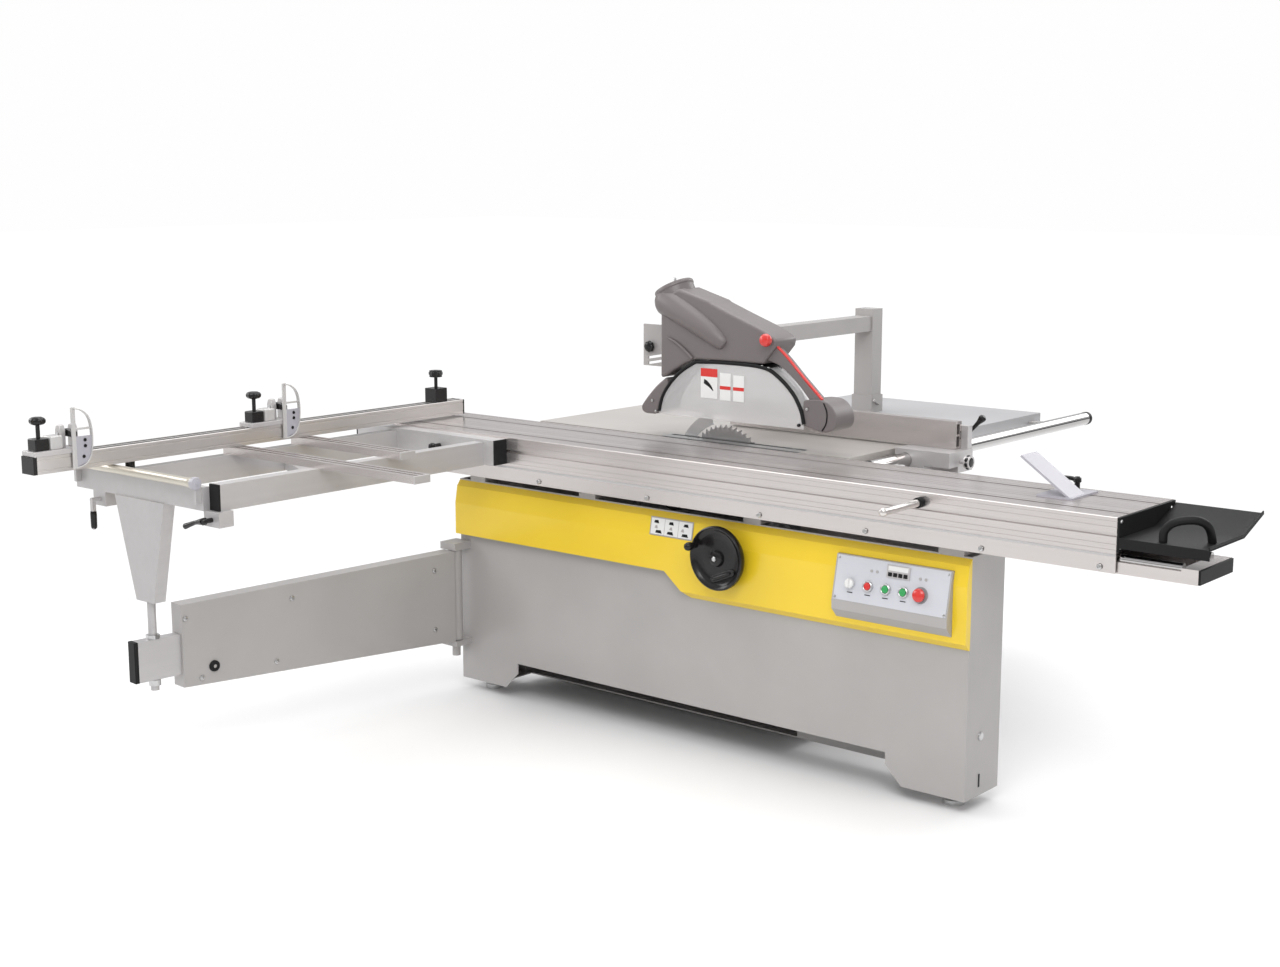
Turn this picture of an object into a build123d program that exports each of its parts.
from build123d import *
import os

os.makedirs("parts", exist_ok=True)

# Panel saw with sliding table. Millimetres. Z up, origin on the floor straight below the
# saw arbor, in the plane of the blade. X runs along the sliding table towards the operator,
# Y runs from the crosscut side towards the rip fence.

# ---- driving dimensions ----
tableTop = 900.0
wall = 4.0
gap = 0.5
slip = 0.4

baseLeft = -870.0
baseRight = 1080.0
baseFront = -330.0
baseDepth = 182.0
baseBottom = 38.0
channelTop = 726.0
cabinetLeft = -750.0
cabinetRight = 400.0
cabinetBack = 520.0
cabinetTop = 850.0
archInset = 258.0
archTop = 128.0
archChamfer = 56.0
footInset = 76.0
footRadius = 31.0

carriageLeft = -1119.0
carriageRight = 1521.0
carriageFront = -396.0
carriageBack = -64.0
carriageBottom = 806.0
skirtBottom = 756.0
guideLeft = -1000.0
guideRight = 1689.0
guideFront = -387.0
guideBack = -185.0
guideTop = 786.0
railRodRadius = 12.0

mainLeft = -762.0
mainRight = 495.0
mainFront = -49.0
mainBack = 550.0
extensionLeft = -345.0
extensionRight = 450.0
extensionBack = 1235.0

bladeRadius = 157.5
bladeThickness = 3.2
knifeInner = bladeRadius + 4.5
knifeOuter = knifeInner + 40.0
knifePinX = -(knifeInner + 16.0)
arborHeight = 792.5
pivotX = -230.0
pivotZ = 700.0
scoreX = 245.0
scoreZ = 842.0
scoreRadius = 60.0
scoreMotorZ = 735.0
tiltRadius = 320.0

ripRailX = 540.0
ripRailZ = 870.0
ripRailRadius = 22.5
ripFenceFace = 276.0
ripFenceLeft = -195.0
ripFenceRight = 668.0
ripFenceTop = 990.0

frameTop = 885.0
frameBottom = 810.0
nearBeamX = -637.0
farBeamX = -1045.0
frameOuter = -1491.0
crossFenceFace = -1048.0
crossFenceOuter = -1796.0
crossFenceInner = -136.0
crossFenceBottom = 908.0
crossFenceTop = 958.0

legX = -968.0
legY = -1500.0
swingX = -852.0
swingY = -378.0
swingAngle = -5.9
armReach = 1058.0

hoodFront = -62.0
hoodBack = 58.0
plateFront = 62.0
postLeft = -85.0
postRight = -12.0
postFront = 855.0
postBack = 917.0
postTop = 1264.0
boomBottom = 1187.0
boomTop = 1239.0


# ---- helpers ----
def block(x0, x1, y0, y1, z0, z1, mode=Mode.ADD):
    with Locations(((x0 + x1) / 2, (y0 + y1) / 2, (z0 + z1) / 2)):
        Box(x1 - x0, y1 - y0, z1 - z0, mode=mode)


def barX(x0, x1, y, z, radius, mode=Mode.ADD):
    with Locations(Location(((x0 + x1) / 2, y, z), (0, 90, 0))):
        Cylinder(radius, x1 - x0, mode=mode)


def barY(x, y0, y1, z, radius, mode=Mode.ADD):
    with Locations(Location((x, (y0 + y1) / 2, z), (90, 0, 0))):
        Cylinder(radius, y1 - y0, mode=mode)


def barZ(x, y, z0, z1, radius, mode=Mode.ADD):
    with Locations((x, y, (z0 + z1) / 2)):
        Cylinder(radius, z1 - z0, mode=mode)


def slabX(x0, x1, outline, mode=Mode.ADD):
    with BuildSketch(Plane.YZ.offset(x0)) as profile:
        with BuildLine():
            Polyline(*outline, close=True)
        make_face()
    extrude(profile.sketch, amount=x1 - x0, mode=mode)


def slabY(y0, y1, outline, mode=Mode.ADD):
    with BuildSketch(Plane.XZ.offset(-y1)) as profile:
        with BuildLine():
            Polyline(*outline, close=True)
        make_face()
    extrude(profile.sketch, amount=y1 - y0, mode=mode)


def slabZ(z0, z1, outline, mode=Mode.ADD):
    with BuildSketch(Plane.XY.offset(z0)) as profile:
        with BuildLine():
            Polyline(*outline, close=True)
        make_face()
    extrude(profile.sketch, amount=z1 - z0, mode=mode)


def hullY(y0, y1, circles, mode=Mode.ADD):
    with BuildSketch(Plane.XZ.offset(-y1)) as profile:
        for x, z, radius in circles:
            with Locations((x, z)):
                Circle(radius)
        make_hull()
    extrude(profile.sketch, amount=y1 - y0, mode=mode)


def ringY(y0, y1, x, z, outer, inner, start, sweep, mode=Mode.ADD):
    with BuildSketch(Plane.XZ.offset(-y1)) as profile:
        with BuildLine():
            big = CenterArc((x, z), outer, start, sweep)
            small = CenterArc((x, z), inner, start, sweep)
            Line(big @ 0, small @ 0)
            Line(big @ 1, small @ 1)
        make_face()
    extrude(profile.sketch, amount=y1 - y0, mode=mode)


def ringX(x0, x1, outer, inner, start, sweep, mode=Mode.ADD):
    with BuildSketch(Plane.YZ.offset(x0)) as profile:
        with BuildLine():
            big = CenterArc((0, tableTop), outer, start, sweep)
            small = CenterArc((0, tableTop), inner, start, sweep)
            Line(big @ 0, small @ 0)
            Line(big @ 1, small @ 1)
        make_face()
    extrude(profile.sketch, amount=x1 - x0, mode=mode)


def save(piece, label):
    piece.part.label = label
    export_step(piece.part, "parts/" + label + ".step")


def saveGroup(label, *shapes):
    group = Compound([solid for shape in shapes for solid in shape.solids()])
    group.label = label
    export_step(group, "parts/" + label + ".step")


# ---- base cabinet ----
baseBack = baseFront + baseDepth
archLeft = baseLeft + archInset
archRight = baseRight - archInset

with BuildPart() as base_cabinet:
    block(baseLeft, baseRight, baseFront, baseBack, baseBottom, channelTop)
    block(cabinetLeft, cabinetRight, baseBack, cabinetBack, baseBottom, cabinetTop)
    block(baseLeft + wall, baseRight - wall, baseFront + wall, baseBack - wall,
          baseBottom - 1, channelTop + 1, mode=Mode.SUBTRACT)
    block(cabinetLeft + wall, cabinetRight - wall, baseBack - wall - 1, cabinetBack - wall,
          baseBottom + wall, cabinetTop + 1, mode=Mode.SUBTRACT)
    block(cabinetLeft, cabinetRight, baseBack, baseBack + wall, channelTop, cabinetTop + 1,
          mode=Mode.SUBTRACT)
    arch = [(archLeft - archChamfer, baseBottom - 1), (archLeft, baseBottom + archChamfer),
            (archLeft, archTop), (archRight, archTop), (archRight, baseBottom + archChamfer),
            (archRight + archChamfer, baseBottom - 1)]
    slabY(baseFront - 1, baseFront + wall + 1, arch, mode=Mode.SUBTRACT)
    for x0, x1 in ((baseLeft, baseLeft + 2 * footInset), (baseRight - 2 * footInset, baseRight)):
        block(x0, x1, baseFront, baseBack, baseBottom, baseBottom + wall)
    block(cabinetLeft - 1, cabinetRight + 1, baseBack - 1, -52, 740, cabinetTop + 1,
          mode=Mode.SUBTRACT)
    block(cabinetLeft + 90, cabinetRight - 90, cabinetBack - wall - 1, cabinetBack + 1, 160, 700,
          mode=Mode.SUBTRACT)
    barX(cabinetLeft - 1, cabinetLeft + wall + 1, 230, 300, 60, mode=Mode.SUBTRACT)
    barY(266, baseFront - 1, baseFront + wall + 1, 620, 12 + slip, mode=Mode.SUBTRACT)

doorX = cabinetLeft + 56
doorY = cabinetBack + 8
with BuildPart() as service_door:
    block(cabinetLeft + 70, cabinetRight - 70, cabinetBack + gap, cabinetBack + gap + 3, 140, 720)
    for z in (240, 620):
        block(doorX, cabinetLeft + 84, cabinetBack + gap + 3, doorY, z - 30, z + 30)
        barZ(doorX, doorY, z - 30, z + 30, 6)
        barZ(doorX, doorY, z - 31, z + 31, 3 + slip, mode=Mode.SUBTRACT)
    block(cabinetRight - 110, cabinetRight - 96, cabinetBack + gap + 3, cabinetBack + 22, 390, 470)
save(service_door, "service_door")

with BuildPart() as door_hinges:
    for z in (240, 620):
        barZ(doorX, doorY, z - 56, z + 56, 3)
        for z0 in (z - 56, z + 31):
            barZ(doorX, doorY, z0, z0 + 25, 6)
            block(doorX - 6, doorX + 6, cabinetBack, doorY, z0, z0 + 25)

with BuildPart() as cable_gland:
    barX(cabinetLeft - 28, cabinetLeft, 420, 620, 16)
    barX(cabinetLeft - 29, cabinetLeft - 8, 420, 620, 9, mode=Mode.SUBTRACT)

with BuildPart() as levelling_feet:
    for x in (baseLeft + footInset, baseRight - footInset):
        for y in (baseFront + footInset, cabinetBack - footInset):
            if y < 0:
                barZ(x, y, 0, 14, footRadius)
                barZ(x, y, 14, baseBottom, 9)
    for x in (cabinetLeft + footInset, cabinetRight - footInset):
        barZ(x, cabinetBack - footInset, 0, 14, footRadius)
        barZ(x, cabinetBack - footInset, 14, baseBottom, 9)
save(levelling_feet, "levelling_feet")

with BuildPart() as dust_outlet:
    barX(cabinetLeft - 80, cabinetLeft, 230, 300, 60)
    barX(cabinetLeft - 6, cabinetLeft, 230, 300, 78)
    barX(cabinetLeft - 81, cabinetLeft + 1, 230, 300, 57, mode=Mode.SUBTRACT)

# ---- yellow panel and controls ----
panelFace = baseFront - 24
panelTop = 722.0
panelLow = 468.0
panelStep = 542.0
panelOutline = [(baseFront, panelTop), (baseFront - 14, panelTop - 18), (panelFace, 647),
                (panelFace, panelLow + 20), (baseFront - 2, panelLow), (baseFront, panelLow)]
panelInside = [(baseFront + 1, panelTop - 5), (baseFront - 11, panelTop - 21),
               (panelFace + 3, 646), (panelFace + 3, panelLow + 21),
               (baseFront - 2, panelLow + 4), (baseFront + 1, panelLow + 4)]
boxLeft = 666.0
boxRight = 1038.0
boxLow = 504.0
boxTop = 686.0

with BuildPart() as front_panel:
    slabX(baseLeft, baseRight + 2, panelOutline)
    slabX(baseLeft + 3, baseRight - 1, panelInside, mode=Mode.SUBTRACT)
    slabY(panelFace - 1, baseFront + 1,
          [(baseLeft - 1, panelLow - 1), (124, panelLow - 1), (33, panelStep),
           (baseLeft - 1, panelStep)], mode=Mode.SUBTRACT)
    block(boxLeft - gap, boxRight + gap, panelFace - 1, baseFront + 1, boxLow - gap,
          boxTop + gap, mode=Mode.SUBTRACT)
    barY(266, panelFace - 1, panelFace + 4, 620, 12 + slip, mode=Mode.SUBTRACT)
save(front_panel, "front_panel")

faceTop = (panelFace - 2, boxTop)
faceLow = (panelFace - 28, 556.0)
faceAngle = 12.2
faceMid = ((boxLeft + boxRight) / 2, panelFace - 17, 609.0)
facePlane = Plane(origin=faceMid, x_dir=(1, 0, 0), z_dir=(0, -0.9774, 0.2113))
buttonXs = (-71.0, -13.0, 44.0, 97.0)
knobX = -129.0

with BuildPart() as control_box:
    slabX(boxLeft, boxRight, [(baseFront, boxTop), faceTop, faceLow, (panelFace - 27, 531),
                              (panelFace - 2, boxLow), (baseFront, boxLow)])
    slabX(boxLeft + 3, boxRight - 3, [(baseFront + 1, boxTop - 4), (panelFace + 16, boxTop - 4),
                                      (panelFace - 8, 556), (panelFace - 8, 534),
                                      (panelFace + 16, boxLow + 4), (baseFront + 1, boxLow + 4)],
          mode=Mode.SUBTRACT)
    for x in buttonXs + (knobX,):
        with Locations(facePlane.location * Location((x, 0, -10))):
            Cylinder(8 + slip, 40, mode=Mode.SUBTRACT)


with BuildPart() as display_unit:
    with Locations(facePlane.location * Location((20, 52, 2))):
        Box(72, 34, 3)
    for x in (-66, -48, 90, 108):
        with Locations(facePlane.location * Location((x, 44, 2))):
            Cylinder(4, 3)
saveGroup("control_box", control_box.part, display_unit.part)


def pushButton(x, radius, height):
    with Locations(facePlane.location * Location((x, 0, 4 + height / 2))):
        Cylinder(radius, height)
    with Locations(facePlane.location * Location((x, 0, -3))):
        Cylinder(8, 16)


with BuildPart() as stop_button:
    pushButton(buttonXs[0], 12, 7)
save(stop_button, "stop_button")

with BuildPart() as saw_button:
    pushButton(buttonXs[1], 12, 7)
save(saw_button, "saw_button")

with BuildPart() as scoring_button:
    pushButton(buttonXs[2], 12, 7)
save(scoring_button, "scoring_button")

with BuildPart() as emergency_stop:
    pushButton(buttonXs[3], 19, 16)
save(emergency_stop, "emergency_stop")

with BuildPart() as selector_knob:
    with Locations(facePlane.location * Location((knobX, 0, 8))):
        Cylinder(14, 14)
    with Locations(facePlane.location * Location((knobX, 0, 17))):
        Box(6, 24, 5)
    with Locations(facePlane.location * Location((knobX, 0, -4))):
        Cylinder(8, 12)
save(selector_knob, "selector_knob")

with BuildPart() as handwheel:
    barY(266, -402, -380, 620, 97)
    barY(266, -403, -392, 620, 84, mode=Mode.SUBTRACT)
    barY(266, -400, -366, 620, 24)
    barY(266, -366, baseFront + 30, 620, 12)

with BuildPart() as crank_handle:
    barY(196, -420, -402, 654, 9)
    barY(196, -450, -420, 654, 12)

# ---- guide ----
with BuildPart() as rail_supports:
    for x0, x1 in ((-334, -266), (316, 378), (976, 1055), (-820, -752)):
        block(x0, x1, baseFront, baseFront + 68, channelTop, skirtBottom)

with BuildPart() as guide_beam:
    block(guideLeft, guideRight, guideFront, guideBack, skirtBottom, guideTop)
    block(guideLeft - 1, guideRight + 1, guideFront + 40, guideBack - 40, skirtBottom + 10,
          guideTop + 1, mode=Mode.SUBTRACT)
    for y in (guideFront + 16, guideBack - 16):
        barX(guideLeft - 1, guideRight + 1, y, guideTop + 6, railRodRadius, mode=Mode.SUBTRACT)

with BuildPart() as guide_rods:
    for y in (guideFront + 16, guideBack - 16):
        barX(guideLeft, guideRight, y, guideTop + 6, railRodRadius)

with BuildPart() as guide_caps:
    for x0, x1 in ((guideLeft - 20, guideLeft), (guideRight, guideRight + 44)):
        block(x0, x1, guideFront, guideBack, skirtBottom, guideTop + 8)

# ---- sliding carriage ----
slotYs = (-330.0, -150.0)
with BuildPart() as carriage_profile:
    block(carriageLeft, carriageRight, carriageFront, carriageBack, carriageBottom, tableTop)
    block(carriageLeft - 1, carriageRight + 1, carriageFront + 8, carriageBack - 114,
          carriageBottom - 1, 812, mode=Mode.SUBTRACT)
    block(carriageLeft - 1, carriageRight + 1, carriageBack - 54, carriageBack + 1,
          carriageBottom - 1, 860, mode=Mode.SUBTRACT)
    for y0, y1 in ((-388, -346), (-314, -266), (-262, -218), (-214, -166)):
        block(carriageLeft - 1, carriageRight + 1, y0, y1, 818, 874, mode=Mode.SUBTRACT)
    for y in slotYs:
        block(carriageLeft - 1, carriageRight + 1, y - 5, y + 5, 880, tableTop + 1,
              mode=Mode.SUBTRACT)
        block(carriageLeft - 1, carriageRight + 1, y - 10, y + 10, 879, 890,
              mode=Mode.SUBTRACT)
    block(carriageLeft - 1, carriageRight + 1, carriageFront - 1, carriageFront + 8, 850, 860,
          mode=Mode.SUBTRACT)

with BuildPart() as carriage_skirt:
    block(carriageLeft, carriageRight, carriageFront, carriageFront + 4, skirtBottom,
          carriageBottom)

with BuildPart() as skirt_screws:
    for x in (-905, -445, 2, 422, 783, 1143, 1479):
        barY(x, carriageFront - 3, carriageFront, 770, 6)

with BuildPart() as carriage_shoes:
    for x in (-900, -450, 0, 450, 900, 1350):
        for y in (guideFront + 16, guideBack - 16):
            block(x - 60, x + 60, y - 9, y + 9, 797, 812)
            barX(x - 61, x + 61, y, guideTop + 6, railRodRadius + slip, mode=Mode.SUBTRACT)

with BuildPart() as carriage_ends:
    for x0, x1 in ((carriageLeft - 6, carriageLeft), (carriageRight, carriageRight + 6)):
        block(x0, x1, carriageFront, carriageBack, 860, tableTop)
        block(x0, x1, carriageFront, -118, 812, 860)

trayLeft = carriageRight + 6
trayLength = 235.0
trayRight = trayLeft + trayLength
with BuildPart() as end_tray:
    slabX(trayLeft, trayRight, [(-396, 824), (-396, 848), (-186, 848), (-64, 892), (-62, 889),
                                (-184, 845), (-393, 845), (-393, 824)])

with BuildPart() as tray_handle:
    for x, y in ((trayRight - 90, -372), (trayRight - 34, -246)):
        barZ(x, y, 848, 900, 11)
    slabZ(900, 922, [(trayRight - 107, -392), (trayRight - 72, -392), (trayRight - 14, -232),
                     (trayRight - 50, -226)])

with BuildPart() as push_rod:
    barY(957, -402, -396, 872, 13)
    barY(957, -592, -402, 872, 11)
save(push_rod, "push_rod")

shoeX = 1275.0
with BuildPart() as shoe_base:
    block(shoeX - 52, shoeX + 52, -255, -105, tableTop, tableTop + 5)
    slabY(-250, -165, [(shoeX + 42, 905), (shoeX - 102, 1004), (shoeX - 106, 999),
                       (shoeX + 32, 905)])
save(shoe_base, "shoe_base")

with BuildPart() as shoe_lever:
    barZ(shoeX, -125, 905.5, 928, 10)
    block(shoeX - 78, shoeX + 8, -131, -119, 926, 934)
    barX(shoeX - 92, shoeX - 70, -125, 931, 10)
save(shoe_lever, "shoe_lever")

# ---- outrigger ----
with BuildPart() as outrigger_frame:
    for x in (nearBeamX, farBeamX):
        block(x - 40, x, frameOuter, carriageFront - 55, frameBottom, frameTop)
        block(x - 37, x - 3, frameOuter + 3, carriageFront - 58, frameBottom + 3, frameTop - 3,
              mode=Mode.SUBTRACT)
    slabZ(frameBottom + 5, frameBottom + 35, [(farBeamX, -870), (farBeamX, -930),
                                              (nearBeamX - 40, -1110), (nearBeamX - 40, -1050)])

innerLeft = -1240.0
innerRight = nearBeamX + 44
with BuildPart() as inner_beam:
    block(innerLeft, innerRight, carriageFront - 55, carriageFront, frameBottom + 4, frameTop + 8)
    block(innerLeft + 3, innerRight - 3, carriageFront - 52, carriageFront - 3, frameBottom + 7,
          frameTop + 5, mode=Mode.SUBTRACT)

outerFront = -1515.0
outerBack = outerFront + 24
with BuildPart() as outer_beam:
    block(-1296, nearBeamX - 40, outerFront, frameOuter, frameBottom, frameTop - 8)

with BuildPart() as frame_caps:
    block(innerRight, innerRight + 6, carriageFront - 55, carriageFront, frameBottom + 4,
          frameTop + 8)
    block(innerLeft - 6, innerLeft, carriageFront - 55, carriageFront, frameBottom + 4,
          frameTop + 8)

rollerY = -1533.0
rollerZ = 890.0
rollerLeft = -1268.0
rollerRight = nearBeamX - 60
with BuildPart() as roller_brackets:
    for x0, x1 in ((rollerLeft - 12, rollerLeft - 1), (rollerRight + 1, rollerRight + 12)):
        barX(x0, x1, rollerY, rollerZ, 17)
        block(x0, x1, rollerY, outerFront, rollerZ - 60, rollerZ)

with BuildPart() as outer_roller:
    barX(rollerLeft, rollerRight, rollerY, rollerZ, 14)
save(outer_roller, "outer_roller")

profileYs = (-868.0, -1133.0)
profileEnds = (-580.0, -236.0)
with BuildPart() as support_profiles:
    for y, x1 in zip(profileYs, profileEnds):
        block(farBeamX - 40, x1, y, y + 60, frameTop, frameTop + 22)
        for y0 in (y + 13, y + 37):
            block(farBeamX - 41, x1 + 1, y0, y0 + 10, frameTop + 14, frameTop + 23,
                  mode=Mode.SUBTRACT)

with BuildPart() as profile_caps:
    for y, x1 in zip(profileYs, profileEnds):
        block(x1, x1 + 5, y, y + 60, frameTop, frameTop + 22)
saveGroup("support_profiles", support_profiles.part, profile_caps.part)


def clampLever(x):
    barY(x, carriageFront - 80, carriageFront - 55, 854, 8)
    barY(x, carriageFront - 92, carriageFront - 80, 854, 13)
    slabY(carriageFront - 92, carriageFront - 84,
          [(x - 7, 854), (x + 7, 854), (x + 5, 800), (x - 5, 800)])


with BuildPart() as left_clamp_lever:
    clampLever(-1133)
save(left_clamp_lever, "left_clamp_lever")

with BuildPart() as right_clamp_lever:
    clampLever(-839)
save(right_clamp_lever, "right_clamp_lever")

with BuildPart() as corner_blocks:
    block(-690, -622, -1505, -1455, frameBottom - 44, frameBottom)
    block(-1212, -1150, -1515, -1455, frameBottom - 44, frameBottom)


with BuildPart() as corner_lever:
    barY(-655, -1540, -1505, 786, 7)
    slabY(-1540, -1528, [(-652, 780), (-652, 794), (-742, 766), (-742, 754)])
save(corner_lever, "corner_lever")

with BuildPart() as far_corner_lever:
    barY(-1180, -1545, -1515, 786, 7)
    slabY(-1545, -1533, [(-1186, 790), (-1174, 790), (-1174, 700), (-1186, 700)])

legTop = frameBottom
legBottom = 506.0
with BuildPart() as leg_column:
    slabY(-1520, -1480, [(-1095, legTop), (-857, legTop), (-925, legBottom),
                         (-1011, legBottom)])
    slabY(-1517, -1483, [(-1090, legTop - 4), (-862, legTop - 4), (-929, legBottom - 1),
                         (-1007, legBottom - 1)], mode=Mode.SUBTRACT)

# ---- crosscut fence ----
with BuildPart() as crosscut_fence:
    block(crossFenceFace - 60, crossFenceFace, crossFenceOuter, crossFenceInner,
          crossFenceBottom, crossFenceTop)
    for x in (crossFenceFace - 44, crossFenceFace - 18):
        block(x - 4, x + 4, crossFenceOuter - 1, crossFenceInner + 1, crossFenceTop - 9,
              crossFenceTop + 1, mode=Mode.SUBTRACT)
        block(x - 8, x + 8, crossFenceOuter - 1, crossFenceInner + 1, crossFenceTop - 12,
              crossFenceTop - 5, mode=Mode.SUBTRACT)
    block(crossFenceFace - 52, crossFenceFace - 8, crossFenceOuter - 1, crossFenceInner + 1,
          crossFenceBottom + 8, crossFenceTop - 18, mode=Mode.SUBTRACT)
save(crosscut_fence, "crosscut_fence")

with BuildPart() as fence_caps:
    block(crossFenceFace - 60, crossFenceFace, crossFenceOuter - 12, crossFenceOuter,
          crossFenceBottom, crossFenceTop)
    block(crossFenceFace - 60, crossFenceFace, crossFenceInner, crossFenceInner + 6,
          crossFenceBottom, crossFenceTop)

with BuildPart() as fence_pivot:
    barZ(crossFenceFace - 30, -1474, frameTop, crossFenceBottom, 14)


def stopBlock(y):
    block(crossFenceFace - 62, crossFenceFace + 4, y - 34, y + 130, crossFenceTop,
          crossFenceTop + 14)
    block(crossFenceFace - 50, crossFenceFace - 10, y - 20, y + 20, crossFenceTop + 14, 1006)
    block(crossFenceFace - 50, crossFenceFace - 24, y + 66, y + 84, crossFenceTop + 14, 1036)
    block(crossFenceFace - 50, crossFenceFace - 24, y + 106, y + 124, crossFenceTop + 14, 1036)


flapReach = 62.0


def stopFlap(y):
    ringY0 = y + 86
    with BuildSketch(Plane.YZ.offset(crossFenceFace + 6)) as profile:
        with BuildLine():
            Polyline((ringY0, 912), (ringY0 + 30, 912), (ringY0 + flapReach, 945),
                     (ringY0 + flapReach, 1035))
            ThreePointArc((ringY0 + flapReach, 1035), (ringY0 + 47, 1074), (ringY0 + 4, 1088))
            Polyline((ringY0 + 4, 1088), (ringY0, 1088), (ringY0, 912))
        make_face()
    extrude(profile.sketch, amount=8)
    block(crossFenceFace - 50, crossFenceFace + 6, y + 86, y + 104, 1002, 1024)


with BuildPart() as outer_stop_block:
    stopBlock(-1770)
    barY(crossFenceFace - 37, -1706, -1640, 1013, 5 + slip, mode=Mode.SUBTRACT)
save(outer_stop_block, "outer_stop_block")

with BuildPart() as middle_stop_block:
    stopBlock(-1015)
    barY(crossFenceFace - 37, -951, -885, 1013, 5 + slip, mode=Mode.SUBTRACT)
save(middle_stop_block, "middle_stop_block")

with BuildPart() as outer_flip_stop:
    stopFlap(-1770)
    barY(crossFenceFace - 37, -1704, -1646, 1013, 5)
save(outer_flip_stop, "outer_flip_stop")

with BuildPart() as middle_flip_stop:
    stopFlap(-1015)
    barY(crossFenceFace - 37, -949, -891, 1013, 5)
save(middle_flip_stop, "middle_flip_stop")


def fenceKnob(y):
    barZ(crossFenceFace - 30, y, 1006, 1044, 6)
    barZ(crossFenceFace - 30, y, 1044, 1066, 22)


with BuildPart() as outer_stop_knob:
    fenceKnob(-1770)
save(outer_stop_knob, "outer_stop_knob")

with BuildPart() as middle_stop_knob:
    fenceKnob(-1015)
save(middle_stop_knob, "middle_stop_knob")

with BuildPart() as inner_fence_clamp:
    block(crossFenceFace - 56, crossFenceFace - 4, -262, -208, crossFenceTop, 1006)

with BuildPart() as inner_fence_knob:
    fenceKnob(-235)

# ---- swing arm ----
armFrame = Location((swingX, swingY, 0), (0, 0, swingAngle))
tubeBottom = 270.0
tubeTop = 392.0
tubeHalf = 18.0
tubeEnd = -armReach - 130
tubeStart = -480.0


def savePlaced(piece, frame, label):
    placed = frame * piece.part
    placed.label = label
    export_step(placed, "parts/" + label + ".step")


with BuildPart() as pivot_brackets:
    block(swingX - 42, swingX + 28, swingY - 26, baseFront, 494, 518)
    block(swingX - 42, swingX + 28, swingY - 26, baseFront, 164, 182)
    barZ(swingX, swingY, 128, 164, 14)
    barZ(swingX, swingY, 182, 494, 14)

with BuildPart() as swing_arm:
    slabX(-28, 28, [(-24, 492), (-24, 184.5), (-armReach + 10, 231), (-armReach + 10, 483)])
    barZ(0, 0, 184.5, 492, 23)
    barZ(0, 0, 180, 500, 14 + slip, mode=Mode.SUBTRACT)
    block(-tubeHalf - gap, tubeHalf + gap, -armReach - 1, tubeStart + 30, tubeBottom - gap,
          tubeTop + gap, mode=Mode.SUBTRACT)
    for y, z in ((-945, 279),):
        barX(28, 34, y, z, 14)
    for y, z in ((-1036, 440), (-664, 440), (-727, 250), (-988, 250)):
        barX(28, 31, y, z, 7)
savePlaced(swing_arm, armFrame, "swing_arm")

rodLocalY = -1128.0
with BuildPart() as arm_tube_cap:
    block(-tubeHalf, tubeHalf, tubeEnd - 10, tubeEnd, tubeBottom, tubeTop)

with BuildPart() as arm_tube:
    block(-tubeHalf, tubeHalf, tubeEnd, tubeStart, tubeBottom, tubeTop)
    block(-tubeHalf + 3, tubeHalf - 3, tubeEnd - 1, tubeStart + 1, tubeBottom + 3, tubeTop - 3,
          mode=Mode.SUBTRACT)
    barZ(0, rodLocalY, tubeBottom - 1, tubeTop + 1, 12.5, mode=Mode.SUBTRACT)

with BuildPart() as support_rod:
    barZ(0, rodLocalY, 236, legBottom - 4, 12.5)
saveGroup("arm_tube", armFrame * arm_tube.part, armFrame * support_rod.part,
          armFrame * arm_tube_cap.part)

# ---- tables ----
pocketLeft = -330.0
pocketRight = 330.0
slotLeft = -(knifeOuter + 24.0)
slotRight = 315.0
with BuildPart() as main_table:
    block(mainLeft, mainRight, mainFront, mainBack, cabinetTop, tableTop)
    for x0, x1 in ((-750, -356), (400, 480)):
        block(x0, x1, mainFront + 12, mainBack - 12, cabinetTop - 1, tableTop - 12,
              mode=Mode.SUBTRACT)
    block(-330, 330, 135, mainBack - 12, cabinetTop - 1, tableTop - 12, mode=Mode.SUBTRACT)
    block(pocketLeft, pocketRight, mainFront - 1, 120, cabinetTop - 1, tableTop - 12,
          mode=Mode.SUBTRACT)
    block(slotLeft, slotRight, mainFront - 1, 14, cabinetTop - 1, tableTop + 1,
          mode=Mode.SUBTRACT)
    for x in (cabinetLeft + 2, cabinetRight - 2):
        block(x - 8, x + 8, mainFront + 30, cabinetBack - 20, cabinetTop, tableTop - 10)
save(main_table, "main_table")

with BuildPart() as table_insert:
    block(slotLeft, slotRight, mainFront, 14, tableTop - 5, tableTop)
    block(slotLeft + 8, slotRight - 6, -11, 5, tableTop - 6, tableTop + 1, mode=Mode.SUBTRACT)
save(table_insert, "table_insert")

with BuildPart() as extension_table:
    block(extensionLeft, extensionRight, mainBack, extensionBack, 862, tableTop)
    block(extensionLeft + 3, extensionRight - 3, mainBack + 3, extensionBack - 3, 861,
          tableTop - 3, mode=Mode.SUBTRACT)
    for y in (mainBack + 200, mainBack + 420):
        block(extensionLeft + 3, extensionRight - 3, y, y + 4, 862, tableTop - 3)
save(extension_table, "extension_table")

with BuildPart() as rip_rail:
    barY(ripRailX, -20, 1404, ripRailZ, ripRailRadius)

with BuildPart() as rail_brackets:
    for y, x0 in ((20, mainRight), (480, mainRight), (1150, extensionRight)):
        block(x0, ripRailX - 12, y, y + 40, 863, 877)
        barY(ripRailX, y - 1, y + 41, ripRailZ, ripRailRadius, mode=Mode.SUBTRACT)

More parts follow.
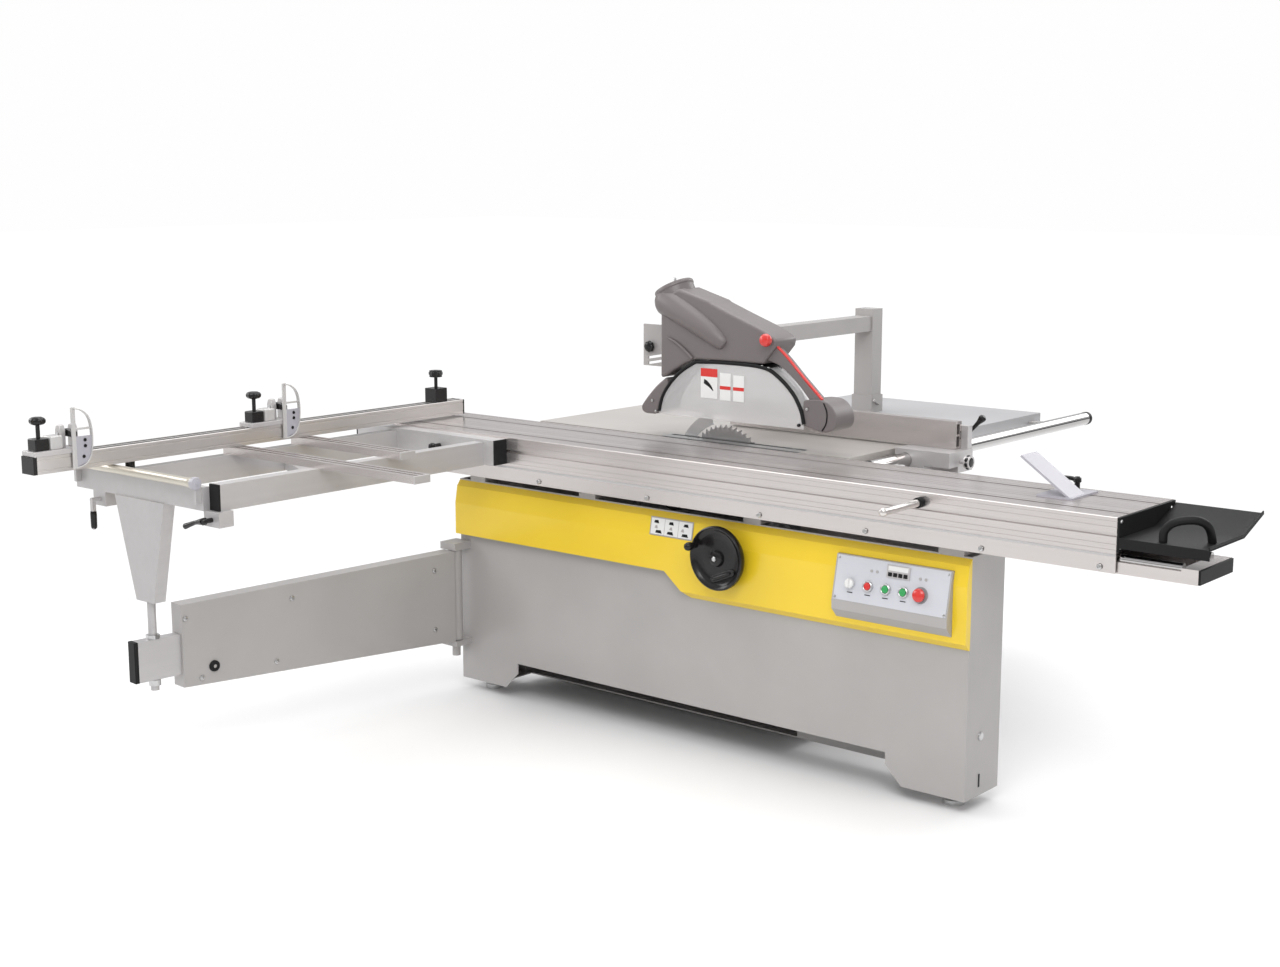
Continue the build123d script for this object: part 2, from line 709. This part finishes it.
# ---- rip fence ----
fenceBack = ripFenceFace + 34
with BuildPart() as rip_fence_block:
    block(503, 694, 196, 336, 838, tableTop + 4)
    barY(ripRailX, 195, 337, ripRailZ, ripRailRadius + slip, mode=Mode.SUBTRACT)
    block(496, ripRailX - 10, 195, 337, 855, 884, mode=Mode.SUBTRACT)
    block(604, 700, 195, 250, 837, 858, mode=Mode.SUBTRACT)

with BuildPart() as rip_fence_profile:
    block(ripFenceLeft, ripFenceRight, ripFenceFace, fenceBack, tableTop + 4.3, ripFenceTop)
    for z0, z1 in ((912, 944), (950, 982)):
        block(ripFenceLeft - 1, ripFenceRight + 1, ripFenceFace + 5, fenceBack - 12, z0, z1,
              mode=Mode.SUBTRACT)
    block(ripFenceLeft - 1, ripFenceRight + 1, fenceBack - 4, fenceBack + 1, 938, 954,
          mode=Mode.SUBTRACT)
    block(ripFenceLeft - 1, ripFenceRight + 1, fenceBack - 9, fenceBack - 3, 933, 959,
          mode=Mode.SUBTRACT)
save(rip_fence_profile, "rip_fence_profile")

with BuildPart() as rip_fence_bracket:
    block(600, 690, fenceBack + gap, 336, tableTop + 4, 975)

with BuildPart() as rip_fence_lever:
    barY(662, 336, 356, 948, 8)
    slabY(346, 354, [(656, 944), (668, 940), (722, 1000), (714, 1006)])
    with Locations((722, 350, 1004)):
        Sphere(13)
save(rip_fence_lever, "rip_fence_lever")

with BuildPart() as rip_clamp_knob:
    barX(694, 712, 266, 872, 7)
    barX(712, 730, 266, 872, 20)

# ---- saw unit ----
innerArc = tiltRadius - 20
outerArc = tiltRadius + 20
cheekLeft = -352.0
cheekRight = 383.0
with BuildPart() as tilt_trunnions:
    for x in (cheekLeft, cheekRight):
        ringX(x, x + 12, outerArc + 15, innerArc - 15, 211, 71)
        ringX(x - 1, x + 13, outerArc + slip, innerArc - slip, 215.5, 61.5,
              mode=Mode.SUBTRACT)
        block(x, x + 12, -40, 80, 622, cabinetTop)
        ringX(x - 1, x + 13, outerArc + slip, innerArc - slip, 215.5, 61.5,
              mode=Mode.SUBTRACT)
save(tilt_trunnions, "tilt_trunnions")

plateY = 60.0
with BuildPart() as tilt_plate:
    for x in (cheekLeft, cheekRight):
        ringX(x, x + 12, outerArc, innerArc, 261, 14)
    for x in (cheekLeft + 12.5, cheekRight - 12.5):
        block(x, x + 12, -20, plateY + 12, 560, 700)
    block(cheekLeft + 12, cheekLeft + 12.5, -18, 60, 572, 596)
    block(cheekRight - 0.5, cheekRight, -18, 60, 572, 596)
    block(cheekLeft + 12.5, cheekRight - 0.5, plateY, plateY + 12, 560, 835)
    barY(pivotX, plateY - 24, plateY, pivotZ, 44)
    barY(pivotX, plateY - 25, plateY + 13, pivotZ, 30, mode=Mode.SUBTRACT)
    barY(scoreX, plateY - 1, plateY + 13, scoreMotorZ, 30, mode=Mode.SUBTRACT)
    hullY(plateY - 20, plateY, [(scoreX, 815, 30), (scoreX, scoreZ, 22)])
    barY(scoreX, plateY - 21, plateY + 1, scoreZ, 12 + slip, mode=Mode.SUBTRACT)

with BuildPart() as main_motor:
    barY(pivotX, plateY + 12, plateY + 24, pivotZ, 85)
    barY(pivotX, plateY + 24, plateY + 250, pivotZ, 78)
    block(pivotX - 50, pivotX + 50, plateY + 60, plateY + 150, pivotZ + 70, pivotZ + 105)
    barY(pivotX, plateY + 11, plateY + 60, pivotZ, 30, mode=Mode.SUBTRACT)
save(main_motor, "main_motor")

with BuildPart() as motor_pulley:
    barY(pivotX, 12, 34, pivotZ, 48)
    barY(pivotX, 34, plateY + 59, pivotZ, 14)
save(motor_pulley, "motor_pulley")

with BuildPart() as saw_arm:
    hullY(36, 58, [(pivotX, pivotZ, 70), (0, arborHeight, 42), (knifePinX, 800, 18)])
    barY(pivotX, 35, 59, pivotZ, 44 + slip, mode=Mode.SUBTRACT)
    barY(0, 35, 59, arborHeight, 20 + slip, mode=Mode.SUBTRACT)
    barY(knifePinX, 1.4, 36, 800, 10)
save(saw_arm, "saw_arm")

with BuildPart() as saw_arbor:
    barY(0, -20, 58, arborHeight, 15)
    barY(0, 36, 58, arborHeight, 20)
    barY(0, 2.1, 10, arborHeight, 45)
    barY(0, -10, -2.1, arborHeight, 45)
    barY(0, -20, -10, arborHeight, 16)
    barY(0, 14, 32, arborHeight, 32)
    barY(0, -2.1, 2.1, arborHeight, 16, mode=Mode.SUBTRACT)
    barY(0, -2.1, 2.1, arborHeight, 15)
save(saw_arbor, "saw_arbor")

with BuildPart() as saw_blade:
    barY(0, -bladeThickness / 2, bladeThickness / 2, arborHeight, bladeRadius)
    barY(0, -3, 3, arborHeight, 15 + 0.02, mode=Mode.SUBTRACT)
save(saw_blade, "saw_blade")

with BuildPart() as drive_belt:
    hullY(15, 31, [(pivotX, pivotZ, 54.4), (0, arborHeight, 38.4)])
    hullY(14, 32, [(pivotX, pivotZ, 48.4), (0, arborHeight, 32.4)], mode=Mode.SUBTRACT)
save(drive_belt, "drive_belt")

with BuildPart() as riving_knife:
    ringY(-1.3, 1.3, 0, arborHeight, knifeOuter, knifeInner, 108, 76)
save(riving_knife, "riving_knife")

with BuildPart() as scoring_arbor:
    barY(scoreX, -12, plateY - 8, scoreZ, 12)
    barY(scoreX, 2, 8, scoreZ, 24)
    barY(scoreX, -12, -2, scoreZ, 20)
    barY(scoreX, 14, 30, scoreZ, 17)
    barY(scoreX, -2, 2, scoreZ, 13, mode=Mode.SUBTRACT)
    barY(scoreX, -2, 2, scoreZ, 12)

with BuildPart() as scoring_blade:
    barY(scoreX, -1.6, 1.6, scoreZ, scoreRadius)
    barY(scoreX, -3, 3, scoreZ, 12.02, mode=Mode.SUBTRACT)

with BuildPart() as scoring_motor:
    barY(scoreX, plateY + 12, plateY + 150, scoreMotorZ, 52)
    barY(scoreX, plateY + 11, plateY + 60, scoreMotorZ, 20, mode=Mode.SUBTRACT)

# ---- overhead guard ----
with BuildPart() as guard_post:
    block(postLeft, postRight, postFront, postBack, tableTop, postTop)
    block(postLeft + 3, postRight - 3, postFront + 3, postBack - 3, tableTop + 3, postTop - 3,
          mode=Mode.SUBTRACT)
    block(postLeft - 5, postRight + 5, postFront - 5, postBack + 5, tableTop, tableTop + 60)

with BuildPart() as post_lever:
    barX(postRight + 5, postRight + 19, 884, 932, 7)
    slabX(postRight + 12, postRight + 19, [(879, 928), (889, 936), (852, 950), (846, 942)])
saveGroup("guard_post", guard_post.part, post_lever.part)

with BuildPart() as guard_boom:
    block(-79, -18, plateFront + 6, postFront, boomBottom, boomTop)
    block(-76, -21, plateFront + 9, postFront - 3, boomBottom + 3, boomTop - 3,
          mode=Mode.SUBTRACT)

with BuildPart() as guard_plate:
    block(-395, 40, plateFront, plateFront + 6, 1150, 1245)
    block(-395, -250, plateFront, plateFront + 6, 1108, 1150)
    for z in (1136, 1118):
        slabY(plateFront - 1, plateFront + 7, [(-375, z - 6), (-310, z + 6), (-310, z + 14),
                                               (-375, z + 2)], mode=Mode.SUBTRACT)
    barY(-362, plateFront - 1, plateFront + 7, 1172, 6 + slip, mode=Mode.SUBTRACT)

with BuildPart() as plate_knob:
    barY(-362, plateFront - 3, plateFront + 12, 1172, 6)
    barY(-362, plateFront - 20, plateFront - 3, 1172, 17)
save(plate_knob, "plate_knob")

hoodOutline = [(-225, 1090), (-85, 1152), (185, 1148), (185, 1232), (40, 1290), (-45, 1340),
               (-130, 1352), (-225, 1352)]
with BuildPart() as guard_hood:
    slabY(hoodFront, hoodBack, hoodOutline)
    fillet(guard_hood.edges().filter_by(Axis.Y), 8)
    slabY(hoodFront + 4, hoodBack - 4, [(-220, 1080), (-80, 1146), (180, 1140), (180, 1228),
                                        (38, 1285), (-47, 1335), (-130, 1347), (-220, 1347)],
          mode=Mode.SUBTRACT)
    with Locations(Location((-196, -2, 1340), (0, -28, 0))):
        Cylinder(63, 90)
    with Locations(Location((-196, -2, 1340), (0, -28, 0))):
        Cylinder(60, 94, mode=Mode.SUBTRACT)
save(guard_hood, "guard_hood")

with BuildPart() as guard_cover:
    with BuildSketch(Plane.XZ.offset(-(hoodBack - 6))) as coverSide:
        with BuildLine():
            start = (-255, 968)
            Line(start, (-252, 990))
            ThreePointArc((-252, 990), (-186, 1092), (-84, 1146))
            Line((-84, 1146), (168, 1143))
            ThreePointArc((168, 1143), (252, 1062), (292, 968))
            Line((292, 968), start)
        make_face()
    extrude(coverSide.sketch, amount=hoodBack - hoodFront - 12)
    with BuildSketch(Plane.XZ.offset(-(hoodBack - 9))) as coverInside:
        with BuildLine():
            start = (-252, 960)
            Line(start, (-249, 989))
            ThreePointArc((-249, 989), (-184, 1089), (-83, 1143))
            Line((-83, 1143), (167, 1140))
            ThreePointArc((167, 1140), (249, 1061), (289, 960))
            Line((289, 960), start)
        make_face()
    extrude(coverInside.sketch, amount=hoodBack - hoodFront - 18, mode=Mode.SUBTRACT)
save(guard_cover, "guard_cover")

with BuildPart() as guard_shoes:
    slabY(hoodFront + 10, hoodBack - 10, [(-330, 1000), (-322, 978), (-300, 966), (-266, 966),
                                          (-263, 992), (-232, 1062), (-245, 1088)])
    slabY(hoodFront + 10, hoodBack - 10, [(294, 966), (380, 966), (412, 985), (420, 1012),
                                          (398, 1052), (352, 1058), (282, 1052), (302, 990)])

with BuildPart() as guard_bar:
    slabY(-20, 20, [(186, 1226), (186, 1160), (206, 1160), (214, 1186), (352, 1059),
                    (396, 1053), (300, 1150)])

with BuildPart() as guard_trim:
    slabY(-14, 14, [(206, 1222), (300, 1151), (396, 1053.5), (402, 1058), (305, 1157),
                    (209, 1228)])

with BuildPart() as guard_knob:
    barY(206, hoodFront - 10, -20, 1236, 5)
    barY(206, hoodFront - 28, hoodFront - 10, 1236, 20)

# ---- pieces that share a node ----
saveGroup("base_cabinet", base_cabinet.part, dust_outlet.part, door_hinges.part,
          cable_gland.part)
saveGroup("handwheel", handwheel.part, crank_handle.part)
saveGroup("base_brackets", rail_supports.part, pivot_brackets.part, rail_brackets.part)
saveGroup("guide_beam", guide_beam.part, guide_caps.part)
saveGroup("guide_rods", guide_rods.part, rip_rail.part)
saveGroup("carriage_profile", carriage_profile.part, carriage_skirt.part)
saveGroup("carriage_shoes", carriage_shoes.part, skirt_screws.part)
saveGroup("carriage_ends", carriage_ends.part, end_tray.part, tray_handle.part)
saveGroup("outrigger_frame", outrigger_frame.part, inner_beam.part, outer_beam.part,
          leg_column.part)
saveGroup("frame_fittings", roller_brackets.part, corner_blocks.part, far_corner_lever.part,
          frame_caps.part)
saveGroup("fence_fittings", fence_caps.part, fence_pivot.part, inner_fence_clamp.part,
          inner_fence_knob.part)
saveGroup("rip_fence_block", rip_fence_block.part, rip_fence_bracket.part, rip_clamp_knob.part)
saveGroup("guard_boom", guard_boom.part, guard_plate.part)
saveGroup("guard_linkage", guard_shoes.part, guard_bar.part)
saveGroup("guard_trim", guard_trim.part, guard_knob.part)
saveGroup("tilt_plate", tilt_plate.part, scoring_motor.part)
saveGroup("scoring_saw", scoring_arbor.part, scoring_blade.part)
